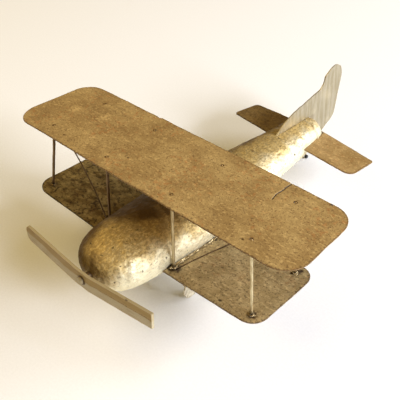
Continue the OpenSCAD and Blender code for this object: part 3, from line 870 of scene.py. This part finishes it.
# The left stabiliser on the far side takes the darker copy: painted shade.
stabiliser("left", STAB_PAINTED_SHADE)

# ------------------------------------------------------------------ fuselage

BODY_SIDES = 216
BODY_STEP = 1.5  # mm between rings along the straight part
NOSE_PART, TAIL_PART = 68.0, 20.0  # mm over which the rings crowd together at each end
GROOVE = 0.93  # a dip below this share of the radius beside it is a slot, and is bridged


def body_stations(lo, hi):
    """Where the body's rings stand along y, crowded toward the nose and the tail."""
    nose = lo[1] + NOSE_PART * (1 - np.cos(np.radians(np.linspace(4.5, 90, 62))))
    straight = np.arange(lo[1] + NOSE_PART + BODY_STEP, hi[1] - TAIL_PART, BODY_STEP)
    tail = hi[1] - TAIL_PART + TAIL_PART * np.sin(np.radians(np.linspace(2, 86, 26)))
    return np.concatenate([nose, straight, tail])


def body_rings(stations):
    """Ring points read off the CAD body, and the height of each ring's middle."""
    bm = cad_mesh("fuselage_shell")
    tree = BVHTree.FromBMesh(bm)
    bm.free()
    angle = 2 * math.pi * np.arange(BODY_SIDES) / BODY_SIDES
    out = np.stack([np.cos(angle), np.zeros(BODY_SIDES), np.sin(angle)], 1)
    radius, axis = [], []
    for y in stations:
        top = tree.ray_cast(Vector((0.01, y, FAR)), -Z)[0]
        low = tree.ray_cast(Vector((0.01, y, -FAR)), Z)[0]
        middle = np.array([0, y, (top.z + low.z) / 2])
        hits = [tree.ray_cast(Vector(middle + d * FAR), Vector(-d))[0] for d in out]
        radius.append([(hit - Vector(middle)).length for hit in hits])
        axis.append(middle)
    radius, axis = np.array(radius), np.array(axis)
    wide = np.max([np.roll(radius, k, 1) for k in range(-3, 4)], axis=0)
    radius = np.where(radius < wide * GROOVE, wide, radius)
    for _ in range(4):
        radius = (np.roll(radius, 1, 1) + 2 * radius + np.roll(radius, -1, 1)) / 4
    return (axis[:, None, :] + radius[:, :, None] * out[None]).reshape(-1, 3), axis[:, 2]


def creases(on_body):
    """One crease round the nose and a few seeded ones: path, height and width of each."""
    def path(t0, t1, a0, a1):
        return [on_body(between(t0, t1, k / 3), between(a0, a1, k / 3)) for k in range(4)]

    made = [(path(1 / 12, 1 / 24, 60, -30), 0.9, 3.0)]
    draw = random.Random(84)
    for k in range(3):
        t, a = draw.uniform(0.2, 0.7), draw.uniform(20, 80)
        run, sweep = draw.uniform(-0.03, 0.03), draw.uniform(30, 50)
        made.append((path(t, t + run, a, a - sweep), (-1) ** k * 0.7, draw.uniform(1.6, 2.4)))
    return made


def body_relief(pts, on_body, nose_tip):
    """Height of the hammering over the plain body, calm round the pin at the nose."""
    height = 0.55 * ripple(pts, 42, 2) + 0.4 * ripple(pts, 17, 3)
    height = height + 0.45 * (cells(pts, 10, 4) - 0.45)
    height = height + 0.24 * ripple(pts, 5, 5) + 0.1 * ripple(pts, 2.6, 6) - 0.2
    for path, tall, width in creases(on_body):
        height += tall * np.exp(-(path_distance(pts, path) / width) ** 2)
    calm = fade(np.linalg.norm(pts - nose_tip, axis=1), 6, 14)
    return height * (1 - calm) - 0.1


def body_tones(pts, normal, lo, hi):
    """Share of brassy tone and of tarnished tone at each body point. Both partly follow how the surface
    faces the lights: bright silver on the near flank is painted light, and the dark far side, nose front
    and band under the upper wing are painted shade.
    """
    side, top = normal[:, 0], normal[:, 2]
    near = np.clip(side, 0, 1)
    along = (pts[:, 1] - lo[1]) / (hi[1] - lo[1])
    fore = fade(along, 0.03, 0.16)
    rear = fade(-along, -0.68, -0.44)
    # More brassy on the top and nose, silver on the flank that faces the lights: painted light and shade by
    # facing, plus tone along the body.
    brass_and_shade = np.clip(0.55 + 0.7 * top - 0.55 * side + 0.35 * fore * (1 - near), -0.3, 1.3) - 0.25 * rear
    # Dark tone on the far side, which faces away from the lights, and on the nose front is painted shade;
    # the near flank gets less of it and stays lit.
    ahead = np.clip(-normal[:, 1] - 0.2, 0, 1)
    tarnish_and_shade = np.clip(0.12 - 1.05 * side * (side < 0) + 0.5 * fore * ahead - 0.6 * near - 0.1 * rear, 0, 1)
    # A dark band on the body top under the upper wing: painted shadow of the upper wing.
    wing_lo, wing_hi = cad_corners("upper_wing")
    off = np.abs(pts[:, 1] - between(wing_lo[1], wing_hi[1], 0.4))
    under_wing_shadow = fade(off, 18, 52) * fade(pts[:, 0] / hi[0], 0.16, 0.66)
    return brass_and_shade, tarnish_and_shade + 0.55 * under_wing_shadow * np.clip(top, 0, 1)


def body_burn(pts):
    """Burnt spots, and scorching along the wing seams and round the strut feet."""
    spots = 0.95 * fade(nearest(pts, scatter(pts, 12, seed=85)), 0.7, 2.6)
    lo, hi = cad_corners("wing_seam_right")
    middle, half = (lo + hi) / 2, (hi - lo) / 2
    beyond = np.maximum(np.abs(pts[:, 1] - middle[1]) - half[1], 0)
    seam = np.stack([np.abs(pts[:, 0]) - middle[0], beyond, pts[:, 2] - middle[2]], 1)
    return spots + 0.25 * fade(np.linalg.norm(seam, axis=1), 3, 10) + fade(nearest(pts, FEET), 4, 9)


def fuselage():
    node = "fuselage_shell"
    lo, hi = cad_corners(node)
    stations = body_stations(lo, hi)
    rings, middle_z = body_rings(stations)
    tips = np.array([[0, lo[1], middle_z[0]], [0, hi[1], middle_z[-1]]])
    plain = np.vstack([rings, tips])
    count = len(stations)
    faces = tube_faces(count, BODY_SIDES, flip=True)
    shape = bpy.data.meshes.new("shape")
    shape.from_pydata([tuple(p) for p in plain], [], faces)
    normal = np.array([v.normal for v in shape.vertices])
    bpy.data.meshes.remove(shape)

    def on_body(t, degrees):
        """The body's surface a fraction t along it, at an angle up from its right side."""
        row = min(int(np.searchsorted(stations, between(lo[1], hi[1], t))), count - 1)
        return plain[row * BODY_SIDES + round(degrees / 360 * BODY_SIDES) % BODY_SIDES]

    pts = plain + normal * body_relief(plain, on_body, tips[0])[:, None]
    brass_and_shade, tarnish_and_shade = body_tones(pts, normal, lo, hi)
    piece("fuselage_hammered", pts, faces, BODY, "airframe", node,
          {"brass_and_shade": brass_and_shade, "tarnish_and_shade": tarnish_and_shade, "burn": body_burn(pts)})


fuselage()

# ------------------------------------------------------------------ propeller

SCRATCH_AT = 0.56  # height of the scratch along the left blade, as a fraction of the bar
RING_GAP = 0.4  # mm from the washer's rim out to the dark ring round it


def propeller():
    lo, hi = cad_corners("propeller_blade")
    scratch_z = between(lo[2], hi[2], SCRATCH_AT)
    ring_r = cad_corners("hub_washer")[1][0] + RING_GAP

    def scratch(p, width):
        return np.exp(-((p[:, 2] - scratch_z) / width) ** 2) * fade(-p[:, 0], -20, -8)

    def warp(p):
        return 0.25 * ripple(p, 50, 31)

    def grain(p):
        drawn = 0.08 * ripple(p * (0.2, 1, 1), 2.0, 32) + 0.05 * ripple(p, 4, 33)
        return drawn - 0.28 * scratch(p, 0.8)

    pts, faces, edge, top = plate("propeller_blade", -Y, 1.2, warp, grain, 0.25, seed=31)
    hub = np.linalg.norm(pts * (1, 0, 1), axis=1)
    burn = 0.8 * fade(np.abs(hub - ring_r), 0.3, 1.4) + 0.7 * scratch(pts, 0.9) * top
    burn = burn + fade(nearest(pts, scatter(pts, 3, seed=86)), 0.8, 2.4)
    ob = piece("propeller_bar", pts, faces, BAR, "propeller", "propeller_blade",
               {"edge": fade(edge, 0.2, 1.6), "burn": burn, "level": fade(-pts[:, 2], -3, 2)})
    soften(ob, 0.4)


propeller()

# ------------------------------------------------------------------ solder, wheels, small parts

for k, hand in enumerate(("right", "left")):
    lump(f"seam_{hand}_solder", "wing_seam_" + hand, SOLDER, 0.6, 0.7, 5.0, seed=2 + k, shrink=1.2)
lump("strut_foot_solder", "strut_solder", SOLDER_BURNT, 0.5, 1.0, 3.4, seed=4, shrink=0.7,
     fresh=[joints["strut_outer_rear_right"][0]])
lump("gear_joint_solder", "gear_solder", SOLDER, 0.5, 0.8, 3.0, seed=5)
lump("tail_ball", "skid_tip", RUBBER, 0.25, 0.06, 2.0, seed=6, smooth=4)


def wheel(hand):
    node = "wheel_" + hand
    sign = 1 if hand == "right" else -1

    def warp(p):
        return 0.25 * ripple(p, 12, 51)

    def grain(p):
        return 0.08 * ripple(p, 3, 52)

    pts, faces, edge, top = plate(node, X * sign, 1.0, warp, grain, 0.3, seed=51)
    burn = fade(nearest(pts, scatter(pts[top], 1, seed=87)), 0.8, 2.2)
    ob = piece(node + "_disc", pts, faces, DISC, node, node,
               {"edge": fade(edge, 0.2, 1.2), "burn": burn})
    soften(ob, 0.4)


wheel("right")
wheel("left")
keep("propeller_pin", BAR, 0.25)
keep("hub_washer", STEEL_DARK_AND_SHADED, 0.15)
for node in ("spacer_tube", "axle_collars", "gear_axle"):
    keep(node, STEEL_DARK_AND_SHADED, 0.15)

# ------------------------------------------------------------------ floor, light, camera

FLOOR_HALF = 14.0  # m


def floor():
    p = Paint("paper_floor")
    fine = p.noise(2.5, 4, 0.6, seed=71)
    col = p.mix(p.span(fine, 0.3, 0.7), (0.86, 0.855, 0.845, 1), (0.90, 0.895, 0.885, 1))
    material = p.finish(col, 0.0, 0.6, fine, 0.04)
    me = bpy.data.meshes.new("floor")
    square = ((-1, -1), (1, -1), (1, 1), (-1, 1))
    me.from_pydata([(x * FLOOR_HALF, y * FLOOR_HALF, 0) for x, y in square], [], [(0, 1, 2, 3)])
    me.materials.append(material)
    ob = bpy.data.objects.new("floor", me)
    bpy.context.scene.collection.objects.link(ob)


LIGHT_DISTANCE = 3.6  # m
LIGHTS = [  # name, azimuth from +x toward +y and elevation in degrees, size in m, watts, colour
    ("key_side", 9, 27, (1.7, 1.2), 185, (0.84, 0.88, 1.0)),
    ("key_back", 45, 27, (1.2, 0.9), 88, (0.84, 0.89, 1.0)),
    ("warm_front", -120, 48, (2.2, 1.6), 33, (1.0, 0.76, 0.36)),
    ("warm_left", 180, 50, (2.0, 2.0), 28, (1.0, 0.76, 0.32)),
]


def area_light(name, azimuth, elevation, size, power, colour):
    """Soft rectangular light that faces the object."""
    a, e = math.radians(azimuth), math.radians(elevation)
    data = bpy.data.lights.new(name, "AREA")
    data.shape = "RECTANGLE"
    data.size, data.size_y = size
    data.energy = power
    data.color = colour
    ob = bpy.data.objects.new(name, data)
    toward = Vector((math.cos(a) * math.cos(e), math.sin(a) * math.cos(e), math.sin(e)))
    ob.location = toward * LIGHT_DISTANCE
    ob.rotation_mode = "QUATERNION"
    ob.rotation_quaternion = (-ob.location).to_track_quat("-Z", "Y")
    bpy.context.scene.collection.objects.link(ob)


def world():
    made = bpy.data.worlds.new("room")
    made.use_nodes = True
    back = made.node_tree.nodes["Background"]
    back.inputs["Color"].default_value = (1.0, 0.8, 0.44, 1)
    back.inputs["Strength"].default_value = 0.2
    bpy.context.scene.world = made


CAMERA_AT = Vector((422.4, -292.3, 473.8))  # mm, in the datum
CAMERA_TURN = (42.8, 37.0, 0.45)  # azimuth, elevation and roll in degrees, in the datum
LENS, SENSOR = 60.8, 36.0  # mm


def camera():
    """Seen from the front right and above."""
    azimuth, elevation, roll = (math.radians(v) for v in CAMERA_TURN)
    level = math.cos(elevation)
    back = Vector((math.sin(azimuth) * level, -math.cos(azimuth) * level, math.sin(elevation)))
    right = Vector((math.cos(azimuth), math.sin(azimuth), 0))
    up = back.cross(right)
    right, up = (right * math.cos(roll) + up * math.sin(roll), up * math.cos(roll) - right * math.sin(roll))
    turn = Matrix((right, up, back)).transposed()
    data = bpy.data.cameras.new("camera")
    data.sensor_width = SENSOR
    data.lens = LENS
    data.clip_start, data.clip_end = 0.01, 60
    ob = bpy.data.objects.new("camera", data)
    ob.matrix_world = Matrix.Translation(DATUM @ CAMERA_AT) @ (TURN @ turn).to_4x4()
    bpy.context.scene.collection.objects.link(ob)
    bpy.context.scene.camera = ob


floor()
for light in LIGHTS:
    area_light(*light)
world()
camera()
bpy.context.scene.view_settings.view_transform = "Standard"
